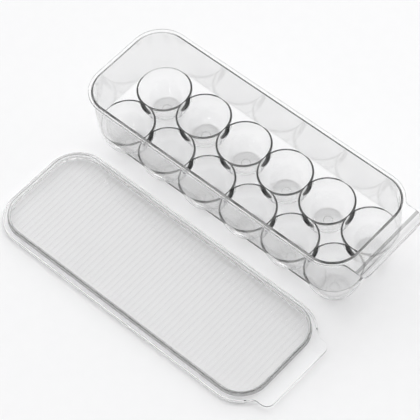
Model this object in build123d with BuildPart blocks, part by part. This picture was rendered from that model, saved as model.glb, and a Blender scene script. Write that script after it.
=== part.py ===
"""Egg storage tray and its loose lid, both moulded in clear plastic. Millimetres, +Z up.

The tray stands on the undersides of its bowls and the lid lies beside it, on the same surface, z = 0.
The origin is on that surface at the centre of the pair's footprint. +X points to the grip end, and the
lid lies on the -Y side. Each moulding is divided face to face into the nodes that a maker would name.
"""

import math
import os

from build123d import *

# Cup grid
COLUMNS = 6
ROWS = 2
CUP_PITCH = 46.5
CUP_WEB = 0.9  # plastic left between two neighbouring mouths
BOWL_FLOOR_RADIUS = 11.9
BOWL_FLOOR = 2.0
BOWL_WALL = 1.6
BOWL_FLOOR_FILLET = 2.5
BOWL_FOOT_FILLET = 1.4
GATE_RADIUS = 4.0
GATE_DEPTH = 0.4

# Tray shell
DECK_TOP = 30.0
DECK_THICKNESS = 2.0
TRAY_HEIGHT = 76.0
WALL = 1.8
DRAFT = 2.0  # degrees
WALL_FOOT_FILLET = 0.6
RIM_WIDTH = 4.2
RIM_THICKNESS = 2.0

# Grip at the +X end of the rim
GRIP_REACH = 14.5
GRIP_HALF_WIDTH = 38.5
GRIP_BEND_RADIUS = 8.0
GRIP_DROP = 10.0
GRIP_CORNER = 8.0
GRIP_ROOT_FILLET = 6.0

# Lid
LID_FIT = 0.4  # play between the rim and the lid's turned-down lip
LIP_WALL = 1.5
LIP_DEPTH = 2.2
LID_FLANGE = 1.8
LID_RISE = 5.0
LID_SHOULDER = 4.8  # from the lid's outer edge to the raised step
STEP_WALL = 2.2
STEP_FILLET = 1.2
PANEL = 1.8
RIB_PITCH = 5.0
RIB_HEIGHT = 0.5
TAB_REACH = 11.0

# Where the lid lies beside the tray
LID_OFFSET_X = -5.5
LID_GAP = 2.35  # between the lid's edge and the tray's rim

# Sizes that follow from the ones above
MOUTH_RADIUS = (CUP_PITCH - CUP_WEB) / 2
DECK_UNDERSIDE = DECK_TOP - DECK_THICKNESS
RIM_UNDERSIDE = TRAY_HEIGHT - RIM_THICKNESS
FOOT_HALF_X = COLUMNS * CUP_PITCH / 2
FOOT_HALF_Y = ROWS * CUP_PITCH / 2
FOOT_CORNER = CUP_PITCH / 2
SPREAD = (TRAY_HEIGHT - DECK_UNDERSIDE) * math.tan(math.radians(DRAFT))
RIM_GROWTH = SPREAD + RIM_WIDTH
LID_GROWTH = RIM_GROWTH + LID_FIT + LIP_WALL
STEP_GROWTH = LID_GROWTH - LID_SHOULDER
FLANGE_TOP = LIP_DEPTH + LID_FLANGE
LID_TOP = FLANGE_TOP + LID_RISE
LID_OFFSET_Y = -(2 * FOOT_HALF_Y + RIM_GROWTH + LID_GROWTH + LID_GAP)

# The pair's footprint is centred on the origin
LOW_X = min(-FOOT_HALF_X - RIM_GROWTH, LID_OFFSET_X - FOOT_HALF_X - LID_GROWTH)
GRIP_TIP = FOOT_HALF_X + RIM_GROWTH + GRIP_REACH
TAB_TIP = FOOT_HALF_X + LID_GROWTH + TAB_REACH
HIGH_X = max(GRIP_TIP, LID_OFFSET_X + TAB_TIP)
HIGH_Y = FOOT_HALF_Y + RIM_GROWTH
LOW_Y = LID_OFFSET_Y - FOOT_HALF_Y - LID_GROWTH
TRAY = Plane(origin=(-(LOW_X + HIGH_X) / 2, -(LOW_Y + HIGH_Y) / 2, 0))
LID = Plane(origin=TRAY.origin + Vector(LID_OFFSET_X, LID_OFFSET_Y, 0))


def outline(growth):
    """The tray's rounded outline at the foot of its walls, grown outwards by a distance."""
    RectangleRounded(2 * (FOOT_HALF_X + growth), 2 * (FOOT_HALF_Y + growth), FOOT_CORNER + growth)


def end_tab(growth, reach, corner):
    """An outline with a tab at its +X end, filleted where the tab leaves it."""
    outline(growth)
    tip = FOOT_HALF_X + growth + reach
    root = FOOT_HALF_X - FOOT_CORNER
    with Locations(((tip + root) / 2, 0)):
        Rectangle(tip - root, 2 * GRIP_HALF_WIDTH)
    fillet(vertices().sort_by(Axis.X)[-2:], corner)
    beside = vertices().filter_by(lambda v: abs(abs(v.Y) - GRIP_HALF_WIDTH) < 0.01)
    fillet(beside.sort_by(Axis.X)[:2], GRIP_ROOT_FILLET)


def finish(builder, label):
    """Names a finished piece and writes it out."""
    builder.part.label = label
    export_step(builder.part, f"parts/{label}.step")


def make_cavity(top):
    """The tapered space inside the walls, from the deck's underside up to a height."""
    with BuildPart() as cavity:
        with BuildSketch(TRAY.offset(DECK_UNDERSIDE)):
            outline(0)
        extrude(amount=top - DECK_UNDERSIDE, taper=-DRAFT)
    return cavity.part


def make_wall():
    with BuildPart() as wall:
        with BuildSketch(TRAY.offset(DECK_UNDERSIDE)):
            outline(WALL)
        extrude(amount=RIM_UNDERSIDE - DECK_UNDERSIDE, taper=-DRAFT)
        fillet(wall.edges().group_by(Axis.Z)[0], WALL_FOOT_FILLET)
        add(make_cavity(RIM_UNDERSIDE), mode=Mode.SUBTRACT)
    finish(wall, "tray_wall")


def make_rim():
    with BuildPart() as rim:
        with BuildSketch(TRAY.offset(RIM_UNDERSIDE)):
            outline(RIM_GROWTH)
        extrude(amount=RIM_THICKNESS)
        add(make_cavity(TRAY_HEIGHT), mode=Mode.SUBTRACT)
    finish(rim, "tray_rim")


def make_grip():
    """The rim runs on past the +X end and bends down in a quarter round that fingers hook behind."""
    top = TRAY_HEIGHT
    below = top - RIM_THICKNESS
    root = FOOT_HALF_X - FOOT_CORNER
    bend_start = GRIP_TIP - GRIP_BEND_RADIUS
    bend_end = top - GRIP_BEND_RADIUS
    inner_face = GRIP_TIP - RIM_THICKNESS
    tip_edge = top - GRIP_DROP
    side = Plane(origin=TRAY.origin, x_dir=(1, 0, 0), z_dir=(0, -1, 0))
    with BuildPart() as grip:
        with BuildSketch(side):
            with BuildLine():
                Line((root, top), (bend_start, top))
                RadiusArc((bend_start, top), (GRIP_TIP, bend_end), GRIP_BEND_RADIUS)
                Line((GRIP_TIP, bend_end), (GRIP_TIP, tip_edge))
                Line((GRIP_TIP, tip_edge), (inner_face, tip_edge))
                Line((inner_face, tip_edge), (inner_face, bend_end))
                RadiusArc((inner_face, bend_end), (bend_start, below), RIM_THICKNESS - GRIP_BEND_RADIUS)
                Line((bend_start, below), (root, below))
                Line((root, below), (root, top))
            make_face()
        extrude(amount=FOOT_HALF_Y + RIM_GROWTH, both=True)
        with BuildSketch(TRAY.offset(tip_edge)):
            end_tab(RIM_GROWTH, GRIP_REACH, GRIP_CORNER)
        extrude(amount=GRIP_DROP, mode=Mode.INTERSECT)
        with BuildSketch(TRAY.offset(tip_edge)):
            outline(RIM_GROWTH)
        extrude(amount=GRIP_DROP, mode=Mode.SUBTRACT)
    finish(grip, "grip_lip")


def make_deck():
    with BuildPart() as deck:
        add(make_cavity(DECK_TOP))
        with BuildSketch(TRAY.offset(DECK_UNDERSIDE)):
            with GridLocations(CUP_PITCH, CUP_PITCH, COLUMNS, ROWS):
                Circle(MOUTH_RADIUS)
        extrude(amount=DECK_THICKNESS, mode=Mode.SUBTRACT)
    finish(deck, "cup_deck")


def nearest_corner(across, up):
    """The corner of the sketch in hand that lies nearest to a point of its plane."""
    return vertices().sort_by_distance(Vertex(across, up, 0))[0]


def make_cup(column, row):
    """A round bowl, cut off flat where it meets its neighbours, with a flat floor to stand on."""
    across = (column - (COLUMNS - 1) / 2) * CUP_PITCH
    along = (row - (ROWS - 1) / 2) * CUP_PITCH
    centre = TRAY.origin + Vector(across, along, 0)
    half, open_side = CUP_PITCH / 2, CUP_PITCH
    left = open_side if column == 0 else half
    right = open_side if column == COLUMNS - 1 else half
    near = open_side if row == 0 else half
    far = open_side if row == ROWS - 1 else half
    depth = DECK_UNDERSIDE - BOWL_FLOOR
    inset = MOUTH_RADIUS - BOWL_FLOOR_RADIUS
    bowl_radius = (inset**2 + depth**2) / (2 * inset)
    outer_radius = bowl_radius + BOWL_WALL
    foot_radius = MOUTH_RADIUS - bowl_radius + math.sqrt(outer_radius**2 - DECK_UNDERSIDE**2)
    lip = (MOUTH_RADIUS, DECK_UNDERSIDE)
    outer_lip = (MOUTH_RADIUS + BOWL_WALL, DECK_UNDERSIDE)
    side = Plane(origin=centre, x_dir=(1, 0, 0), z_dir=(0, -1, 0))
    with BuildPart() as cup:
        with BuildSketch(side):
            with BuildLine():
                RadiusArc(lip, (BOWL_FLOOR_RADIUS, BOWL_FLOOR), bowl_radius)
                Line((BOWL_FLOOR_RADIUS, BOWL_FLOOR), (0, BOWL_FLOOR))
                Line((0, BOWL_FLOOR), (0, 0))
                Line((0, 0), (foot_radius, 0))
                RadiusArc((foot_radius, 0), outer_lip, -outer_radius)
                Line(outer_lip, lip)
            make_face()
            fillet(nearest_corner(BOWL_FLOOR_RADIUS, BOWL_FLOOR), BOWL_FLOOR_FILLET)
            fillet(nearest_corner(foot_radius, 0), BOWL_FOOT_FILLET)
        revolve(axis=Axis(centre, (0, 0, 1)))
        with BuildSketch(Plane(origin=centre)):
            with Locations(((right - left) / 2, (far - near) / 2)):
                Rectangle(left + right, near + far)
        extrude(amount=DECK_UNDERSIDE, mode=Mode.INTERSECT)
        with BuildSketch(Plane(origin=centre)):
            Circle(GATE_RADIUS)
        extrude(amount=GATE_DEPTH, mode=Mode.SUBTRACT)
    finish(cup, f"egg_cup_{row * COLUMNS + column + 1}")


def make_lid_flange():
    with BuildPart() as flange:
        with BuildSketch(LID.offset(LIP_DEPTH)):
            outline(LID_GROWTH)
        extrude(amount=LID_FLANGE)
        with BuildSketch(LID.offset(LIP_DEPTH)):
            outline(STEP_GROWTH)
        extrude(amount=LID_FLANGE, mode=Mode.SUBTRACT)
    finish(flange, "lid_flange")


def make_lid_lip():
    """The edge turned down round the rim, left out at the +X end where the grip passes."""
    with BuildPart() as lip:
        with BuildSketch(LID):
            outline(LID_GROWTH)
        extrude(amount=LIP_DEPTH)
        with BuildSketch(LID):
            outline(LID_GROWTH - LIP_WALL)
        extrude(amount=LIP_DEPTH, mode=Mode.SUBTRACT)
        with BuildSketch(LID):
            with Locations((FOOT_HALF_X, 0)):
                Rectangle(2 * FOOT_CORNER, 2 * (GRIP_HALF_WIDTH + GRIP_ROOT_FILLET))
        extrude(amount=LIP_DEPTH, mode=Mode.SUBTRACT)
    finish(lip, "lid_lip")


def make_lid_tab():
    with BuildPart() as tab:
        with BuildSketch(LID.offset(LIP_DEPTH)):
            end_tab(LID_GROWTH, TAB_REACH, GRIP_CORNER)
        extrude(amount=LID_FLANGE)
        with BuildSketch(LID.offset(LIP_DEPTH)):
            outline(LID_GROWTH)
        extrude(amount=LID_FLANGE, mode=Mode.SUBTRACT)
    finish(tab, "lid_tab")


def make_lid_step():
    """The upright band that lifts the panel above the flange."""
    with BuildPart() as step:
        with BuildSketch(LID.offset(LIP_DEPTH)):
            outline(STEP_GROWTH)
        extrude(amount=LID_TOP - LIP_DEPTH)
        fillet(step.edges().group_by(Axis.Z)[-1], STEP_FILLET)
        with BuildSketch(LID.offset(LIP_DEPTH)):
            outline(STEP_GROWTH - STEP_WALL)
        extrude(amount=LID_TOP - LIP_DEPTH, mode=Mode.SUBTRACT)
    finish(step, "lid_step")


def make_lid_panel():
    """A flat panel with half-round ribs across its underside."""
    half_x = FOOT_HALF_X + STEP_GROWTH - STEP_WALL
    ribs = int(2 * half_x // RIB_PITCH)
    start = -ribs * RIB_PITCH / 2
    base = LID_TOP - PANEL
    side = Plane(origin=LID.origin, x_dir=(1, 0, 0), z_dir=(0, -1, 0))
    with BuildPart() as panel:
        with BuildSketch(side):
            with BuildLine():
                for number in range(ribs):
                    left = start + number * RIB_PITCH
                    crest = (left + RIB_PITCH / 2, base - RIB_HEIGHT)
                    ThreePointArc((left, base), crest, (left + RIB_PITCH, base))
                Line((-start, base), (half_x, base))
                Line((half_x, base), (half_x, LID_TOP))
                Line((half_x, LID_TOP), (-half_x, LID_TOP))
                Line((-half_x, LID_TOP), (-half_x, base))
                Line((-half_x, base), (start, base))
            make_face()
        extrude(amount=FOOT_HALF_Y + STEP_GROWTH, both=True)
        with BuildSketch(LID.offset(base - RIB_HEIGHT)):
            outline(STEP_GROWTH - STEP_WALL)
        extrude(amount=PANEL + RIB_HEIGHT, mode=Mode.INTERSECT)
    finish(panel, "lid_panel")


os.makedirs("parts", exist_ok=True)
make_wall()
make_rim()
make_grip()
make_deck()
for row in range(ROWS):
    for column in range(COLUMNS):
        make_cup(column, row)
make_lid_flange()
make_lid_lip()
make_lid_tab()
make_lid_step()
make_lid_panel()
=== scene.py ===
"""Egg storage tray and its loose lid in clear plastic, laid out as an add-on and run as a script.

The tray is one moulding: twelve bowls in a deck, tapered walls, a turned-out rim and a bent grip. The lid is
another: a ribbed panel on a raised step, a flange with a turned-down lip, and a flat tab. Clear plastic shows
every inner face, so each moulding is one closed skin that stands for all of its CAD nodes. Lengths are in
metres.
"""

import math

import bmesh
import bpy
import numpy as np
from bpy.props import FloatProperty, FloatVectorProperty, PointerProperty
from mathutils import Matrix, Vector


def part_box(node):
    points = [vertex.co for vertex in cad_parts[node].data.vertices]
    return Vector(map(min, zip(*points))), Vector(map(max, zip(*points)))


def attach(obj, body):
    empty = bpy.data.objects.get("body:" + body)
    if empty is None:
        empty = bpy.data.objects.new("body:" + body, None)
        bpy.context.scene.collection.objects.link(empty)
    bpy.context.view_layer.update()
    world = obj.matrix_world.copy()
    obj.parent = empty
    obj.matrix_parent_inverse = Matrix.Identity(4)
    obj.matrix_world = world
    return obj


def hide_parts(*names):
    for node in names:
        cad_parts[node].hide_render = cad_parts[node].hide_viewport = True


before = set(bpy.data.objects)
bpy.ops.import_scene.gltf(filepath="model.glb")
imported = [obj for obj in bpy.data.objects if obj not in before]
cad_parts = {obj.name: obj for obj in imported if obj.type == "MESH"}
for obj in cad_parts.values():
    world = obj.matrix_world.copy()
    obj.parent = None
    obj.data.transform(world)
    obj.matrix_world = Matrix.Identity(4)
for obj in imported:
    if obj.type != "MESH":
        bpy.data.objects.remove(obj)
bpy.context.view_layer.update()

bl_info = {
    "name": "Egg Tray",
    "version": (1, 0, 0),
    "blender": (4, 5, 0),
    "location": "3D View > Sidebar > Egg Tray",
    "description": "Builds a clear egg storage tray, its loose lid and a studio around them",
    "category": "Add Mesh",
}

MM = 0.001
TRAY_NODES = ["cup_deck", "tray_wall", "tray_rim", "grip_lip"]
LID_NODES = ["lid_panel", "lid_step", "lid_flange", "lid_lip", "lid_tab"]
CUP_NODES = sorted((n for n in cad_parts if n.startswith("egg_cup_")), key=lambda n: int(n[8:]))

# What the frame says about places and overall sizes
DECK_LOW, DECK_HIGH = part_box("cup_deck")
RIM_LOW, RIM_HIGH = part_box("tray_rim")
GRIP_LOW, GRIP_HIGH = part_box("grip_lip")
FLANGE_LOW, FLANGE_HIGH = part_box("lid_flange")
STEP_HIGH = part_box("lid_step")[1]
PANEL_LOW, PANEL_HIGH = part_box("lid_panel")
TAB_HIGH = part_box("lid_tab")[1]
TRAY_CENTRE = (DECK_LOW + DECK_HIGH) / 2
LID_CENTRE = (FLANGE_LOW + FLANGE_HIGH) / 2
MIDDLE_CUP_LOW, MIDDLE_CUP_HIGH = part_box("egg_cup_3")
PITCH = MIDDLE_CUP_HIGH.x - MIDDLE_CUP_LOW.x
COLUMNS = round((DECK_HIGH.x - DECK_LOW.x) / PITCH)
ROWS = round((DECK_HIGH.y - DECK_LOW.y) / PITCH)

# The outline's corners are rounded about the corner bowls' own centres
CELL = PITCH / 2
CORNER_X = (COLUMNS - 1) * CELL
CORNER_Y = (ROWS - 1) * CELL
RIM_GROWTH = RIM_HIGH.x - TRAY_CENTRE.x - CORNER_X - CELL
FLANGE_GROWTH = FLANGE_HIGH.x - LID_CENTRE.x - CORNER_X - CELL
STEP_GROWTH = STEP_HIGH.x - LID_CENTRE.x - CORNER_X - CELL
PANEL_GROWTH = PANEL_HIGH.x - LID_CENTRE.x - CORNER_X - CELL


def length(label, about, millimetres):
    """A length property, given in millimetres and kept in metres."""
    return FloatProperty(name=label, description=about, default=millimetres * MM, unit="LENGTH", precision=5)


def colour(label, about, default):
    """A colour property."""
    return FloatVectorProperty(name=label, description=about, default=default, size=3, subtype="COLOR")


def factor(label, about, default):
    """A property between 0 and 1."""
    return FloatProperty(name=label, description=about, default=default, min=0.0, max=1.0, subtype="FACTOR")


def strength(label, about, default):
    """A property that is 0 or more, with no unit."""
    return FloatProperty(name=label, description=about, default=default, min=0.0)


class TraySizes(bpy.types.PropertyGroup):
    """Sizes of the tray moulding that its CAD boxes do not give."""

    mouth: length("Mouth radius", "Radius of a bowl's mouth", 22.8)
    floor_radius: length("Floor radius", "Radius of a bowl's flat floor before its fillet", 11.9)
    floor: length("Floor height", "Height of a bowl's floor above the table", 2.0)
    bowl_wall: length("Bowl wall", "Thickness of a bowl's side", 1.6)
    floor_fillet: length("Floor fillet", "Fillet round a bowl's floor", 2.5)
    foot_fillet: length("Foot fillet", "Round under a bowl's foot", 1.4)
    gate: length("Gate radius", "Radius of the moulding gate's recess under a bowl", 4.0)
    gate_depth: length("Gate depth", "Depth of the gate's recess", 0.4)
    mouth_round: length("Mouth round", "Round on the edge of a bowl's mouth", 0.25)
    wall: length("Wall", "Thickness of the walls", 1.8)
    wall_foot: length("Wall foot round", "Round at the foot of the walls outside", 0.6)
    rim_round: length("Rim round", "Round on the rim's edges", 0.7)
    grip_half: length("Grip half width", "Half the width of the grip", 38.5)
    grip_bend: length("Grip bend", "Radius of the grip's bend, on its upper face", 8.0)
    grip_root: length("Grip root fillet", "Fillet where the grip leaves the rim", 6.0)
    draft: FloatProperty(
        name="Draft", description="Lean of the walls", default=math.radians(2.0), subtype="ANGLE"
    )


class LidSizes(bpy.types.PropertyGroup):
    """Sizes of the lid moulding that its CAD boxes do not give."""

    lip_wall: length("Lip wall", "Thickness of the turned-down lip", 1.5)
    step_round: length("Step round", "Round on the raised step's upper edge", 1.2)
    edge_round: length("Edge round", "Round on the flange's and lip's edges", 0.5)
    rib_pitch: length("Rib pitch", "Distance between ribs under the panel", 5.0)
    rib_height: length("Rib height", "Height of a rib under the panel", 0.4)
    tab_half: length("Tab half width", "Half the width of the tab", 38.5)
    tab_root: length("Tab root fillet", "Fillet where the tab leaves the flange", 6.0)
    tab_corner: length("Tab corner", "Round on the tab's outer corners", 8.0)


class Finishes(bpy.types.PropertyGroup):
    """Colours and strengths of the plastic, its painted shades, the floor and the light."""

    tint: colour("Tint", "Colour of light deep in the plastic", (0.5, 0.5, 0.5))
    tray_depth: strength("Tray depth", "How strongly the tray's plastic darkens light, per metre", 45.0)
    lid_depth: strength("Lid depth", "How strongly the lid's plastic darkens light, per metre", 20.0)
    haze: factor("Haze", "Roughness of the moulded skin", 0.035)
    waves: factor("Flow waves", "Strength of the faint waves that the melt leaves", 0.25)
    scuffs: factor("Scuffs", "Extra roughness of the rubbed scratches", 0.01)
    # Painted shadow: grey on the feet for the contact shadow where they stand on the table
    foot_painted_shadow: factor("Foot grey", "Grey of the feet where they stand on the table", 0.8)
    # Painted shade: grey on the walls, darkening the bowls seen through them
    wall_painted_shade: factor("Wall grey", "Grey of the tray's walls", 0.93)
    # Painted shade: dark lines on the rim's rounds, standing in for the dark that refraction shows there
    rim_painted_shade: factor("Rim grey", "Grey of the rounds on the tray's rim", 0.35)
    # Painted shade: grey on the ribbed panel, darkest in the valleys between ribs
    panel_painted_shade: factor("Panel grey", "Grey of the ribbed panel, deepest between its ribs", 0.87)
    # Painted shade: a dark line on the upright step round the panel
    step_painted_shade: factor("Step grey", "Grey of the upright step round the panel", 0.5)
    # Painted shade: dark lines in the step's rounds, above and below
    crease_painted_shade: factor("Crease grey", "Grey of the step's rounds, above and below", 0.2)
    floor_tone: colour("Floor", "Colour of the floor", (0.86, 0.86, 0.865))
    light_power: FloatProperty(name="Light", description="Power of the far light", default=7.0, unit="POWER")
    room_strength: strength("Room", "Strength of the light from all round", 1.75)


class Wire:
    """A node's output. Python's operators on it add Math nodes, with numbers or other wires."""

    def __init__(self, finish, socket):
        self.finish = finish
        self.socket = socket

    def math(self, operation, *values):
        """One Math node over the values."""
        return self.finish.node("ShaderNodeMath", {"operation": operation}, *values)

    def __add__(self, other):
        return self.math("ADD", self, other)

    def __mul__(self, other):
        return self.math("MULTIPLY", self, other)

    __radd__ = __add__
    __rmul__ = __mul__

    def over(self, low, high):
        """0 below low, 1 above high and a smooth step between."""
        return self.finish.node(
            "ShaderNodeMapRange", {"interpolation_type": "SMOOTHSTEP"}, self, low, high, 0.0, 1.0
        )


class Finish:
    """A material and its nodes."""

    def __init__(self, name):
        self.material = bpy.data.materials.new(name)
        self.material.use_nodes = True
        self.tree = self.material.node_tree
        self.tree.nodes.clear()

    def node(self, kind, settings=None, *values, output=0, **named):
        """Adds a node, applies its settings, then links or sets its inputs, by order or by name."""
        made = self.tree.nodes.new(kind)
        for key, value in (settings or {}).items():
            setattr(made, key, value)
        inputs = [s for s in made.inputs if s.enabled]
        given = list(zip(inputs, values)) + [(made.inputs[k.replace("_", " ")], v) for k, v in named.items()]
        for socket, value in given:
            if isinstance(value, Wire):
                self.tree.links.new(value.socket, socket)
            elif value is not None:
                socket.default_value = value
        return Wire(self, made.outputs[output]) if made.outputs else made

    def place(self, scale=(1, 1, 1), turn=(0, 0, 0)):
        """Object coordinates in metres, stretched and turned."""
        where = self.node("ShaderNodeTexCoord", output=3)
        return self.node("ShaderNodeMapping", None, where, (0, 0, 0), turn, scale)

    def noise(self, vector, scale, detail):
        """Noise over a vector, from 0 to 1."""
        return self.node(
            "ShaderNodeTexNoise", None, Vector=vector, Scale=scale, Detail=detail, Roughness=0.5
        )

    def mix(self, share, first, second):
        """A blend of two colours, each a triple or a wire."""
        pair = [c if isinstance(c, Wire) else (*c, 1) for c in (first, second)]
        return self.node("ShaderNodeMix", {"data_type": "RGBA"}, share, *pair, output=2)

    def done(self, surface, volume=None):
        """The material, with these at its output."""
        self.node("ShaderNodeOutputMaterial", None, surface, volume)
        return self.material


def clear_plastic(name, looks, density, painted_shade_bands):
    """Clear moulded plastic: faint waves left by the melt, fine rubbed scratches and a thin haze of handling.

    scratch = two stretched noises cut to thin lines, and worn = scratch where cloud is high
    colour = white to 1.5 % grey with cloud, and each band of heights blends it to the band's own grey, a
    painted shade roughness = haze + 0.02 cloud + scuffs worn
    height = waves flow + 0.002 grain + 0.002 worn
    A band is its low end, its high end, the width of its soft edges and its grey, which is painted shade. The
    plastic also takes light for each metre that it passes, so long ways through an edge go dark.
    """
    finish = Finish(name)
    flow = finish.noise(finish.place((14, 40, 20)), 1.0, 1.5)
    cloud = finish.noise(finish.place(), 18.0, 3.0)
    grain = finish.noise(finish.place(), 2600.0, 1.0)
    rubbed = finish.noise(finish.place((60, 2400, 900), (0.2, 0.1, 0.5)), 1.0, 2.0)
    crossed = finish.noise(finish.place((2100, 45, 1300), (0.1, 0.3, -0.3)), 1.0, 2.0)
    scratch = rubbed.over(0.66, 0.74) + crossed.over(0.68, 0.76)
    worn = cloud.over(0.45, 0.75) * scratch
    tone = finish.mix(cloud.over(0.3, 0.8), (1.0, 1.0, 1.0), (0.985, 0.986, 0.987))
    above = finish.node("ShaderNodeSeparateXYZ", None, finish.place(), output=2)
    # Painted shade: each band blends the colour towards its grey over a range of heights
    for low, high, soft, grey in painted_shade_bands:
        share = above.over(low - soft, low) * above.over(high + soft, high)
        tone = finish.mix(share, tone, (grey, grey, grey))
    roughness = looks.haze + 0.02 * cloud + looks.scuffs * worn
    height = looks.waves * flow + 0.002 * grain + 0.002 * worn
    bump = finish.node("ShaderNodeBump", None, Strength=0.05, Distance=0.0001, Height=height)
    shader = finish.node(
        "ShaderNodeBsdfPrincipled", None, Base_Color=tone, Roughness=roughness, IOR=1.5, Normal=bump
    )
    shader.socket.node.inputs["Transmission Weight"].default_value = 1.0
    depth = finish.node("ShaderNodeVolumeAbsorption", None, Color=(*looks.tint, 1), Density=density)
    return finish.done(shader, depth)


def studio_floor(tone):
    """Pale matt board with a hardly visible fibre."""
    finish = Finish("studio_floor")
    fibre = finish.noise(finish.place((30, 30, 30)), 3.0, 4.0)
    paint = finish.mix(fibre.over(0.3, 0.7), tone, [c * 0.992 for c in tone])
    bump = finish.node("ShaderNodeBump", None, Strength=0.05, Distance=0.0005, Height=fibre)
    shader = finish.node(
        "ShaderNodeBsdfPrincipled", None, Base_Color=paint, Roughness=0.75 + 0.1 * fibre, Normal=bump
    )
    shader.socket.node.inputs["Specular IOR Level"].default_value = 0.2
    return finish.done(shader)


def arc(start, end, steps):
    """Angles in degrees as an array of steps + 1 values in radians."""
    return np.radians(np.linspace(start, end, steps + 1))


def pairs(across, up):
    """Points (..., 2) from two arrays: a profile's distances outwards and heights, or a plan's X and Y."""
    return np.stack([across, up], -1)


def lift(flat, height):
    """Points (..., 2) with a height added, as (..., 3)."""
    height = np.broadcast_to(np.asarray(height, float)[..., None], (*flat.shape[:-1], 1))
    return np.concatenate([flat, height], -1)


def turned(angles):
    """Unit vectors (..., 2) at those angles."""
    return pairs(np.cos(angles), np.sin(angles))


def skin(name, grids, centre):
    """One closed mesh object from grids of points.

    A grid is (rows, columns, 3) with a quad between each four neighbours, and a closed grid also joins its
    last column to its first. Edges that lie on each other are merged, which also shuts the poles.
    """
    points, quads, base = [], [], 0
    for grid, closed in grids:
        rows, columns = grid.shape[:2]
        index = base + np.arange(rows * columns).reshape(rows, columns)
        here = index if closed else index[:, :-1]
        beside = np.roll(index, -1, 1) if closed else index[:, 1:]
        quads.append(np.stack([here[:-1], beside[:-1], beside[1:], here[1:]], -1).reshape(-1, 4))
        points.append(grid.reshape(-1, 3))
        base += rows * columns
    mesh = bpy.data.meshes.new(name)
    mesh.from_pydata(np.concatenate(points) + np.array(centre), [], np.concatenate(quads))
    bm = bmesh.new()
    bm.from_mesh(mesh)
    bmesh.ops.remove_doubles(bm, verts=bm.verts, dist=2e-6)
    bmesh.ops.dissolve_degenerate(bm, edges=bm.edges, dist=1e-6)
    bmesh.ops.recalc_face_normals(bm, faces=bm.faces)
    if bm.calc_volume(signed=True) < 0:
        bmesh.ops.reverse_faces(bm, faces=bm.faces)
    gaps = sum(not edge.is_manifold for edge in bm.edges)
    if gaps:
        raise RuntimeError(f"{name} isn't closed: {gaps} edges lack a second face")
    bm.to_mesh(mesh)
    bm.free()
    mesh.shade_smooth()
    mesh.set_sharp_from_angle(angle=math.radians(50))
    obj = bpy.data.objects.new(name, mesh)
    bpy.context.scene.collection.objects.link(obj)
    weighted = obj.modifiers.new("flat faces stay flat", "WEIGHTED_NORMAL")
    weighted.keep_sharp = True
    weighted.weight = 80
    return obj


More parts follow.
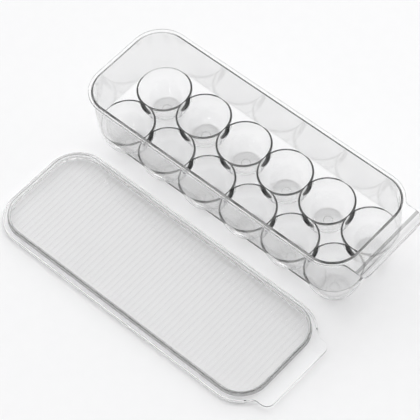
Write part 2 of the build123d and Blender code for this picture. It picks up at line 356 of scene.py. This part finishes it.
class Plate:
    """A rounded outline with a tab at its +X end, as a family of outlines at any distance from the edge.

    The outline follows spine points, and a point at growth g is spine + direction * (CELL + g), so corners
    are concentric. The tab is laid out flat: its side is an arc round the root fillet, a straight run and a
    quarter ellipse at the tip, and each column keeps its share of the side's half width.
    """

    def __init__(self, xs, ys, fan_steps, growth, half, root, reach, corner_long, corner_wide):
        self.growth, self.half, self.root = growth, half, root
        self.reach, self.corner_long, self.corner_wide = reach, corner_long, corner_wide
        rise = half + root - CORNER_Y
        run = math.sqrt((CELL + growth + root) ** 2 - rise**2)
        self.root_x = CORNER_X + run
        self.root_angle = math.atan2(rise, run)
        inner, outer = fan_steps
        self.fan = np.concatenate(
            [
                np.linspace(0, self.root_angle, inner + 1),
                np.linspace(self.root_angle, math.pi / 2, outer + 1)[1:],
            ]
        )
        fan = self.fan
        corner = inner + outer
        near = self.corner_run(1, -1, -fan[::-1])
        end = self.straight_run(np.full_like(ys, CORNER_X), ys, (1, 0))
        far = self.corner_run(1, 1, fan)
        back = self.straight_run(xs[::-1], np.full_like(xs, CORNER_Y), (0, 1))
        back_corner = self.corner_run(-1, 1, math.pi - fan[::-1])
        start = self.straight_run(np.full_like(ys, -CORNER_X), ys[::-1], (-1, 0))
        front_corner = self.corner_run(-1, -1, math.pi + fan)
        front = self.straight_run(xs, np.full_like(xs, -CORNER_Y), (0, -1))
        runs = [near, end, far, back, back_corner, start, front_corner, front]
        self.spine = np.concatenate([spine[:-1] for spine, aim in runs])
        self.aim = np.concatenate([aim[:-1] for spine, aim in runs])
        self.angle = np.arctan2(self.aim[:, 1], self.aim[:, 0])
        self.first = outer
        self.last = corner + len(ys) - 1 + inner

    @staticmethod
    def corner_run(side_x, side_y, angles):
        """Spine and directions of one rounded corner."""
        spine = np.tile([side_x * CORNER_X, side_y * CORNER_Y], (len(angles), 1))
        return spine, turned(angles)

    @staticmethod
    def straight_run(xs, ys, aim):
        """Spine and directions of one straight side."""
        return pairs(xs, ys), np.tile(np.array(aim, float), (len(xs), 1))

    def ring(self, growth):
        """The outline at one growth, or at one growth a row: (samples, 2) or (rows, samples, 2)."""
        reach = CELL + np.asarray(growth, float)
        return self.spine + self.aim * reach[..., None, None]

    def tab_side(self, inset):
        """The tab's far side from its root to its tip: X and half width, moved into the sheet by inset."""
        round_root = arc(math.degrees(self.root_angle), 90, 6)
        tip = arc(0, 90, 16)
        bend = self.reach - self.corner_long
        straight = np.linspace(self.root_x, bend, 7)[1:-1]
        x = np.concatenate(
            [
                self.root_x - (self.root + inset) * np.cos(round_root),
                straight,
                bend + (self.corner_long - inset) * np.sin(tip),
            ]
        )
        y = np.concatenate(
            [
                self.half + self.root - (self.root + inset) * np.sin(round_root),
                np.full_like(straight, self.half - inset),
                self.half - self.corner_wide + (self.corner_wide - inset) * np.cos(tip),
            ]
        )
        return x, y

    def tab(self, inset):
        """The tab's flat sheet as a grid from the outline to the tip: (rows, columns, 2)."""
        x, y = self.tab_side(inset)
        start = self.ring(self.growth - inset)[self.first : self.last + 1]
        share = start[:, 1] / y[0]
        bend = self.reach - self.corner_long
        ease = np.clip((bend - x) / (bend - x[0]), 0, 1)
        return pairs(x[:, None] + ease[:, None] * (start[:, 0] - x[0]), y[:, None] * share)

    def edge(self, inset):
        """The outer edge with the tab's own edge in it, as one closed line: (samples, 2)."""
        ring = self.ring(self.growth - inset)
        sheet = self.tab(inset)
        return np.concatenate(
            [ring[self.last :], ring[: self.first], sheet[:, 0], sheet[-1, 1:-1], sheet[:0:-1, -1]]
        )

    def along_edge(self, values):
        """The outline's values at the edge line's samples, where the tab takes the value at its root."""
        rows, columns = self.tab(0.0).shape[:2]
        return np.concatenate(
            [
                values[self.last :],
                values[: self.first],
                np.full(rows, values[self.first]),
                np.full(columns - 2, values[self.first]),
                np.full(rows - 1, values[self.last]),
            ]
        )


def cell_edge(column, row, halves, fan, growth):
    """The edge of a bowl's square cell, (samples, 2) round the bowl's centre.

    Each quarter runs from the middle of one side to the middle of the next. Sides on the tray's outline move
    out by growth, and a quarter with two such sides is a round of radius CELL + growth.
    """
    outer = [column == COLUMNS - 1, row == ROWS - 1, column == 0, row == 0]
    square = np.concatenate(
        [
            pairs(np.full_like(halves, CELL), halves),
            pairs(halves[-2::-1], np.full_like(halves[1:], CELL)),
        ]
    )
    count = len(halves) - 1
    first = np.arange(len(square)) <= count
    second = np.arange(len(square)) >= count
    quarters = []
    for quarter in range(4):
        this, after = outer[quarter], outer[(quarter + 1) % 4]
        angles = fan if quarter % 2 == 0 else math.pi / 2 - fan[::-1]
        if this and after:
            points = turned(angles) * (CELL + growth)
        else:
            points = square + growth * pairs(first * float(this), second * float(after))
        turn = quarter * math.pi / 2
        spin = np.array([[math.cos(turn), math.sin(turn)], [-math.sin(turn), math.cos(turn)]])
        quarters.append((points @ spin)[:-1])
    return np.concatenate(quarters)


def bowl_round(radius, hub, top, floor, fillet, steps):
    """The fillet between a bowl's flat floor and its round side: its points, and where the side starts.

    The side is a circle about hub at the height top, and the fillet is the circle that touches it and the
    floor.
    """
    drop = top - floor - fillet
    run = math.sqrt((radius - fillet) ** 2 - drop**2)
    meet = math.atan2(drop, run)
    angles = np.linspace(math.pi / 2, meet, steps + 1)
    points = pairs(hub + run + fillet * np.cos(angles), floor + fillet - fillet * np.sin(angles))
    return points, meet


def make_tray_skin(sizes):
    """Every face of the tray moulding as grids: bowls, deck, walls, rim and grip."""
    top, rim_under = RIM_HIGH.z, RIM_LOW.z
    deck, under = DECK_HIGH.z, DECK_LOW.z
    lean = math.tan(sizes.draft)
    depth = under - sizes.floor
    inset = sizes.mouth - sizes.floor_radius
    bowl_radius = (inset**2 + depth**2) / (2 * inset)
    hub = sizes.mouth - bowl_radius
    outer_radius = bowl_radius + sizes.bowl_wall
    outer_mouth = sizes.mouth + sizes.bowl_wall

    # Samples: a cell's half side is cut where the groove between two bowls ends
    groove = math.sqrt(outer_mouth**2 - CELL**2)
    halves = np.concatenate([np.linspace(0, groove, 5), np.linspace(groove, CELL, 8)[1:]])
    side = np.concatenate([-halves[:0:-1], halves])
    ends_x = (np.arange(COLUMNS) - (COLUMNS - 1) / 2) * PITCH
    ends_y = (np.arange(ROWS) - (ROWS - 1) / 2) * PITCH
    xs = np.unique(np.round((ends_x[:, None] + side).ravel(), 9))
    ys = np.unique(np.round((ends_y[:, None] + side).ravel(), 9))
    xs = xs[np.abs(xs) <= CORNER_X + 1e-9]
    ys = ys[np.abs(ys) <= CORNER_Y + 1e-9]
    bend_x = GRIP_HIGH.x - TRAY_CENTRE.x - sizes.grip_bend
    drop = GRIP_HIGH.z - GRIP_LOW.z
    flat_tip = bend_x + sizes.grip_bend * math.pi / 2 + drop - sizes.grip_bend
    plate = Plate(
        xs, ys, (10, 12), RIM_GROWTH, sizes.grip_half, sizes.grip_root, flat_tip,
        flat_tip - bend_x, 10 * MM,
    )

    def bent(flat, below):
        """The flat sheet bent down past bend_x round an arc, a distance below its upper face."""
        x, y = flat[..., 0], flat[..., 1]
        angle = np.clip((x - bend_x) / sizes.grip_bend, 0, math.pi / 2)
        past = np.maximum(x - bend_x - sizes.grip_bend * math.pi / 2, 0)
        arm = sizes.grip_bend - below
        bent_x = np.minimum(x, bend_x) + arm * np.sin(angle)
        bent_z = top - sizes.grip_bend + arm * np.cos(angle) - past
        return np.stack([bent_x, y, bent_z], -1)

    grids = []
    quarter = arc(0, 90, 5)
    wall_round = 0.25 * MM
    wall_start = lean * (deck + wall_round - under) - wall_round
    wall_foot = sizes.wall - sizes.wall_foot
    mouth_end = sizes.mouth + sizes.mouth_round

    # A bowl's upper side: floor, fillet, side, mouth and its share of the deck
    fillet, meet = bowl_round(bowl_radius, hub, under, sizes.floor, sizes.floor_fillet, 6)
    sweep = np.linspace(meet, 0, 15)[1:]
    inner = np.concatenate(
        [
            [[0, sizes.floor], [fillet[0, 0] / 2, sizes.floor]],
            fillet,
            pairs(hub + bowl_radius * np.cos(sweep), under - bowl_radius * np.sin(sweep)),
            pairs(
                mouth_end - sizes.mouth_round * np.cos(quarter),
                deck - sizes.mouth_round + sizes.mouth_round * np.sin(quarter),
            ),
        ]
    )

    # Its lower side: gate recess, foot, round and outer side up to the cell's edge
    foot, outer_meet = bowl_round(outer_radius, hub, under, 0.0, sizes.foot_fillet, 5)
    recess = [
        [0, sizes.gate_depth],
        [sizes.gate - 0.35 * MM, sizes.gate_depth],
        [sizes.gate - 0.1 * MM, sizes.gate_depth - 0.1 * MM],
        [sizes.gate, 0.1 * MM],
        [sizes.gate + 0.15 * MM, 0],
    ]
    lower = np.concatenate([recess, foot])
    climb = np.linspace(0, 1, 15)[:, None]
    patch = np.linspace(0, 1, 3)[:, None, None]
    for row in range(ROWS):
        for column in range(COLUMNS):
            middle = np.array([ends_x[column], ends_y[row]])
            upper_edge = cell_edge(column, row, halves, plate.fan, wall_start)
            aim = upper_edge / np.linalg.norm(upper_edge, axis=-1, keepdims=True)
            grids.append((lift(middle + inner[:, 0, None, None] * aim, inner[:, 1, None]), True))
            web = middle + (1 - patch) * mouth_end * aim + patch * upper_edge
            grids.append((lift(web, deck), True))

            lower_edge = cell_edge(column, row, halves, plate.fan, wall_foot)
            distance = np.linalg.norm(lower_edge, axis=-1)
            aim = lower_edge / distance[:, None]
            grids.append((lift(middle + lower[:, 0, None, None] * aim, lower[:, 1, None]), True))
            stop = np.arccos(np.clip((distance - hub) / outer_radius, -1, 1))
            angle = outer_meet + (stop - outer_meet) * climb
            across = hub + outer_radius * np.cos(angle)
            height = under - outer_radius * np.sin(angle)
            grids.append((lift(middle + across[..., None] * aim, height), True))
            shelf = middle + (1 - patch) * across[-1][:, None] * aim + patch * lower_edge
            grids.append((lift(shelf, np.broadcast_to(height[-1], shelf.shape[:-1])), True))

    # Walls inside and out, and the rim's two faces, carried round the outline
    rim = sizes.rim_round
    face = np.linspace(deck + wall_round, top - rim, 7)
    inside = np.concatenate(
        [
            pairs(wall_start + wall_round * np.sin(quarter), deck + wall_round * (1 - np.cos(quarter))),
            pairs(lean * (face - under), face)[1:],
            pairs(
                lean * (top - rim - under) + rim * (1 - np.cos(quarter)),
                top - rim + rim * np.sin(quarter),
            )[1:],
            [[RIM_GROWTH - rim, top]],
        ]
    )
    grids.append((lift(plate.ring(inside[:, 0]), inside[:, 1, None]), True))
    fillet = 0.6 * MM
    face = np.linspace(rim_under - fillet, under + sizes.wall_foot, 7)
    outside = np.concatenate(
        [
            [[RIM_GROWTH - rim, rim_under]],
            pairs(
                sizes.wall + lean * (face[0] - under) + fillet * (1 - np.sin(quarter)),
                rim_under - fillet * (1 - np.cos(quarter)),
            ),
            pairs(sizes.wall + lean * (face - under), face)[1:],
            pairs(
                wall_foot + sizes.wall_foot * np.cos(quarter) + lean * sizes.wall_foot * np.cos(quarter),
                under + sizes.wall_foot * (1 - np.sin(quarter)),
            )[1:],
        ]
    )
    grids.append((lift(plate.ring(outside[:, 0]), outside[:, 1, None]), True))

    # The grip's two faces, and the rounded edge that runs round rim and grip
    thick = top - rim_under
    grids.append((bent(plate.tab(rim), 0.0), False))
    grids.append((bent(plate.tab(rim), thick), False))
    turn = arc(0, 90, 5)
    insets = np.concatenate([rim * (1 - np.sin(turn)), rim * (1 - np.cos(turn))])
    depths = np.concatenate([rim * (1 - np.cos(turn)), thick - rim + rim * np.sin(turn)])
    grids.append((np.stack([bent(plate.edge(i), d) for i, d in zip(insets, depths)]), True))
    return grids


def make_lid_skin(sizes):
    """Every face of the lid moulding as grids: ribbed panel, step, flange, lip and tab."""
    lip_low, flange_under, flange_top = 0.0, FLANGE_LOW.z, FLANGE_HIGH.z
    top, rib_low = PANEL_HIGH.z, PANEL_LOW.z
    panel_under = rib_low + sizes.rib_height
    xs = np.linspace(-CORNER_X, CORNER_X, 373)
    ys = np.concatenate([[1], np.linspace(0.99, 0.92, 6), [0.7, 0.45, 0.2]])
    ys = CORNER_Y * np.concatenate([-ys, ys[::-1]])
    tip = TAB_HIGH.x - LID_CENTRE.x
    plate = Plate(
        xs, ys, (25, 39), FLANGE_GROWTH, sizes.tab_half, sizes.tab_root, tip,
        sizes.tab_corner, sizes.tab_corner,
    )
    shares = ys / CORNER_Y
    corner_samples, end_samples, long_samples = 64, len(ys) - 1, len(xs) - 1

    def panel_sheet(growth):
        """The panel as columns across its width: each keeps the outline's x and shares out its width."""
        ring = plate.ring(growth)
        back_start = corner_samples + end_samples
        back = ring[back_start : back_start + 2 * corner_samples + long_samples + 1]
        along = np.broadcast_to(back[:, 0], (len(shares), len(back)))
        return pairs(along, shares[:, None] * back[:, 1])

    def rib_height(flat, growth):
        """Half-round ribs side by side along X: an arc over each pitch, faded out by the panel's edge."""
        x, y = flat[..., 0], flat[..., 1]
        fade = 4 * MM
        half = sizes.rib_pitch / 2
        radius = (half**2 + sizes.rib_height**2) / (2 * sizes.rib_height)
        offset = np.mod(x, sizes.rib_pitch) - half
        height = np.sqrt(radius**2 - offset**2) - (radius - sizes.rib_height)
        width = np.abs(flat[-1:, :, 1])
        end = CORNER_X + CELL + growth
        ease = np.clip((width - np.abs(y)) / fade, 0, 1) * np.clip((end - np.abs(x)) / fade, 0, 1)
        return height * ease * ease * (3 - 2 * ease)

    grids = []
    quarter = arc(0, 90, 5)
    step, edge = sizes.step_round, sizes.edge_round
    upper = panel_sheet(STEP_GROWTH - step)
    grids.append((lift(upper, top), False))
    fillet = 0.5 * MM
    lower_growth = PANEL_GROWTH - fillet
    lower = panel_sheet(lower_growth)
    grids.append((lift(lower, panel_under - rib_height(lower, lower_growth)), False))

    # Upper profile: the step's round, its face, a fillet and the flange
    above = np.concatenate(
        [
            pairs(STEP_GROWTH - step * (1 - np.sin(quarter)), top - step * (1 - np.cos(quarter))),
            pairs(STEP_GROWTH + fillet * (1 - np.cos(quarter)), flange_top + fillet * (1 - np.sin(quarter))),
            [[FLANGE_GROWTH - edge, flange_top]],
        ]
    )
    grids.append((lift(plate.ring(above[:, 0]), above[:, 1, None]), True))

    # Lower profile: the flange's underside, round its inner edge and up to the panel
    bead = 0.4 * MM
    inner = sizes.lip_wall + 0.3 * MM
    below = np.concatenate(
        [
            [[FLANGE_GROWTH - inner, flange_under]],
            pairs(PANEL_GROWTH + bead * (1 - np.sin(quarter)), flange_under + bead * (1 - np.cos(quarter))),
            pairs(
                PANEL_GROWTH - fillet * (1 - np.cos(quarter)),
                panel_under - fillet * (1 - np.sin(quarter)),
            ),
        ]
    )
    grids.append((lift(plate.ring(below[:, 0]), below[:, 1, None]), True))

    # The edge: its upper round, the lip's outer face, foot and inner face. The lip fades out beside the tab
    notch = np.clip((np.abs(plate.angle) - math.radians(42)) / math.radians(3), 0, 1)
    lip = plate.along_edge(notch * notch * (3 - 2 * notch))
    foot = flange_under - (flange_under - lip_low) * lip
    turn = arc(0, 90, 4)
    bite = 0.3 * MM
    wall = sizes.lip_wall
    steps = [(edge * (1 - math.sin(a)), flange_top - edge * (1 - math.cos(a)) + 0 * foot) for a in turn]
    steps += [(edge * (1 - math.cos(a)), foot + edge * (1 - math.sin(a))) for a in turn]
    steps += [(wall - bite * (1 - math.sin(a)), foot + bite * lip * (1 - math.cos(a))) for a in turn]
    steps += [
        (wall + bite * (1 - math.cos(a)), flange_under - bite * lip * (1 - math.sin(a))) for a in turn
    ]
    grids.append((np.stack([lift(plate.edge(inset), height) for inset, height in steps]), True))
    grids.append((lift(plate.tab(edge), flange_top), False))
    grids.append((lift(plate.tab(inner), flange_under), False))
    return grids


class EGGTRAY_OT_tray(bpy.types.Operator):
    """Mould the tray: twelve bowls, deck, walls, rim and grip as one closed skin"""

    bl_idname = "egg_tray.tray"
    bl_label = "Mould the Tray"

    def execute(self, context):
        settings = context.scene
        obj = skin("tray", make_tray_skin(settings.tray_sizes), (TRAY_CENTRE.x, TRAY_CENTRE.y, 0))
        looks = settings.finishes
        painted_shade_bands = [
            # Painted contact shadow on the feet, up to 0.4 mm above the table
            (-1 * MM, 0.4 * MM, 0.2 * MM, looks.foot_painted_shadow),
            # Painted shade on the walls, from the deck up to the rim
            (DECK_HIGH.z + 0.3 * MM, RIM_LOW.z - 0.3 * MM, 0.1 * MM, looks.wall_painted_shade),
            # Painted dark line on the rim's upper rounds
            (RIM_HIGH.z - 0.7 * MM, RIM_HIGH.z - 0.06 * MM, 0.04 * MM, looks.rim_painted_shade),
        ]
        obj.data.materials.append(clear_plastic("tray_clear_plastic", looks, looks.tray_depth, painted_shade_bands))
        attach(obj, "tray")
        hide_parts(*TRAY_NODES, *CUP_NODES)
        return {"FINISHED"}


class EGGTRAY_OT_lid(bpy.types.Operator):
    """Mould the lid: ribbed panel, step, flange, lip and tab as one closed skin"""

    bl_idname = "egg_tray.lid"
    bl_label = "Mould the Lid"

    def execute(self, context):
        settings = context.scene
        obj = skin("lid", make_lid_skin(settings.lid_sizes), (LID_CENTRE.x, LID_CENTRE.y, 0))
        looks = settings.finishes
        foot = FLANGE_HIGH.z + 1.2 * MM
        painted_shade_bands = [
            # Painted shade on the panel, deepest between the ribs
            (PANEL_LOW.z + 0.5 * MM, PANEL_HIGH.z + 1 * MM, 0.8 * MM, looks.panel_painted_shade),
            # Painted dark line in the lower round of the step
            (FLANGE_HIGH.z + 0.05 * MM, foot, 0.04 * MM, looks.crease_painted_shade),
            # Painted dark line on the step's face
            (foot, PANEL_LOW.z - 0.2 * MM, 0.04 * MM, looks.step_painted_shade),
            # Painted dark line in the upper round of the step
            (PANEL_HIGH.z - 1.3 * MM, PANEL_HIGH.z - 0.04 * MM, 0.03 * MM, looks.crease_painted_shade),
        ]
        obj.data.materials.append(clear_plastic("lid_clear_plastic", looks, looks.lid_depth, painted_shade_bands))
        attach(obj, "lid")
        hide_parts(*LID_NODES)
        return {"FINISHED"}


def soft_light(name, place, target, size, power):
    """A rectangular area light at place that faces target."""
    data = bpy.data.lights.new(name, "AREA")
    data.shape = "RECTANGLE"
    data.size, data.size_y = size
    data.energy = power
    lamp = bpy.data.objects.new(name, data)
    lamp.location = place
    lamp.rotation_mode = "QUATERNION"
    lamp.rotation_quaternion = (Vector(target) - Vector(place)).to_track_quat("-Z", "Y")
    bpy.context.scene.collection.objects.link(lamp)


def studio_world(strength_all_round):
    """A soft room: pale overhead and on the far side, dark low down on the near side.

    grey = an eased ramp from 0.1 to 0.85 of the direction's dot product with the room's bright side
    """
    world = bpy.data.worlds.new("studio_room")
    world.use_nodes = True
    tree = world.node_tree
    tree.nodes.clear()
    out = tree.nodes.new("ShaderNodeOutputWorld")
    background = tree.nodes.new("ShaderNodeBackground")
    coords = tree.nodes.new("ShaderNodeTexCoord")
    dot = tree.nodes.new("ShaderNodeVectorMath")
    dot.operation = "DOT_PRODUCT"
    dot.inputs[1].default_value = (-0.45, 0.45, 0.77)
    ramp = tree.nodes.new("ShaderNodeValToRGB")
    ramp.color_ramp.interpolation = "EASE"
    ramp.color_ramp.elements[0].position = 0.1
    ramp.color_ramp.elements[0].color = (0.04, 0.04, 0.042, 1)
    ramp.color_ramp.elements[1].position = 0.85
    ramp.color_ramp.elements[1].color = (1, 1, 1, 1)
    tree.links.new(coords.outputs["Generated"], dot.inputs[0])
    tree.links.new(dot.outputs["Value"], ramp.inputs[0])
    tree.links.new(ramp.outputs[0], background.inputs["Color"])
    background.inputs["Strength"].default_value = strength_all_round
    tree.links.new(background.outputs[0], out.inputs["Surface"])
    bpy.context.scene.world = world


def studio_camera():
    """The camera: measured from the tray's centre, turned by azimuth, elevation and a slight roll."""
    place = Vector((TRAY_CENTRE.x, TRAY_CENTRE.y, 0)) + Vector((749.67, -725.09, 1500.64)) * MM
    azimuth, elevation, roll = (math.radians(a) for a in (47.82, 55.50, -6.83))
    back = Vector(
        (
            math.sin(azimuth) * math.cos(elevation),
            -math.cos(azimuth) * math.cos(elevation),
            math.sin(elevation),
        )
    )
    right = (-back).cross(Vector((0, 0, 1))).normalized()
    up = right.cross(-back)
    rolled_right = right * math.cos(roll) + up * math.sin(roll)
    rolled_up = up * math.cos(roll) - right * math.sin(roll)
    data = bpy.data.cameras.new("camera")
    data.lens = 183.24
    data.sensor_width = 36.0
    data.clip_start, data.clip_end = 0.05, 50
    camera = bpy.data.objects.new("camera", data)
    turn = Matrix((rolled_right, rolled_up, back)).transposed()
    camera.matrix_world = Matrix.Translation(place) @ turn.to_4x4()
    bpy.context.scene.collection.objects.link(camera)
    bpy.context.scene.camera = camera


class EGGTRAY_OT_stage(bpy.types.Operator):
    """Lay the floor, hang the lights and set the camera"""

    bl_idname = "egg_tray.stage"
    bl_label = "Set the Stage"

    def execute(self, context):
        looks = context.scene.finishes
        half = 2.0
        below = -0.05 * MM
        corners = [(-half, -half), (half, -half), (half, half), (-half, half)]
        mesh = bpy.data.meshes.new("floor")
        mesh.from_pydata([(x, y, below) for x, y in corners], [], [(0, 1, 2, 3)])
        floor = bpy.data.objects.new("floor", mesh)
        context.scene.collection.objects.link(floor)
        mesh.materials.append(studio_floor(looks.floor_tone))
        soft_light("far_softbox", (-0.2, 2.2, 1.85), (0, 0, 0), (0.35, 0.8), looks.light_power)
        studio_world(looks.room_strength)
        studio_camera()
        context.scene.view_settings.view_transform = "Standard"
        cycles = context.scene.cycles
        cycles.max_bounces = 32
        cycles.transmission_bounces = 32
        cycles.glossy_bounces = 12
        cycles.diffuse_bounces = 6
        cycles.blur_glossy = 0.0
        return {"FINISHED"}


class EGGTRAY_PT_panel(bpy.types.Panel):
    """The sidebar panel with one button for each piece and its sizes"""

    bl_label = "Egg Tray"
    bl_idname = "EGGTRAY_PT_panel"
    bl_space_type = "VIEW_3D"
    bl_region_type = "UI"
    bl_category = "Egg Tray"

    def draw(self, context):
        for operator in OPERATORS:
            self.layout.operator(operator.bl_idname)
        for group in (context.scene.tray_sizes, context.scene.lid_sizes, context.scene.finishes):
            box = self.layout.box()
            for name in group.__annotations__:
                box.prop(group, name)


OPERATORS = (EGGTRAY_OT_tray, EGGTRAY_OT_lid, EGGTRAY_OT_stage)
CLASSES = (TraySizes, LidSizes, Finishes, *OPERATORS, EGGTRAY_PT_panel)


def register():
    for cls in CLASSES:
        bpy.utils.register_class(cls)
    bpy.types.Scene.tray_sizes = PointerProperty(type=TraySizes)
    bpy.types.Scene.lid_sizes = PointerProperty(type=LidSizes)
    bpy.types.Scene.finishes = PointerProperty(type=Finishes)


def unregister():
    del bpy.types.Scene.finishes
    del bpy.types.Scene.lid_sizes
    del bpy.types.Scene.tray_sizes
    for cls in reversed(CLASSES):
        bpy.utils.unregister_class(cls)


def main():
    register()
    bpy.ops.egg_tray.tray()
    bpy.ops.egg_tray.lid()
    bpy.ops.egg_tray.stage()


if __name__ == "__main__":
    main()
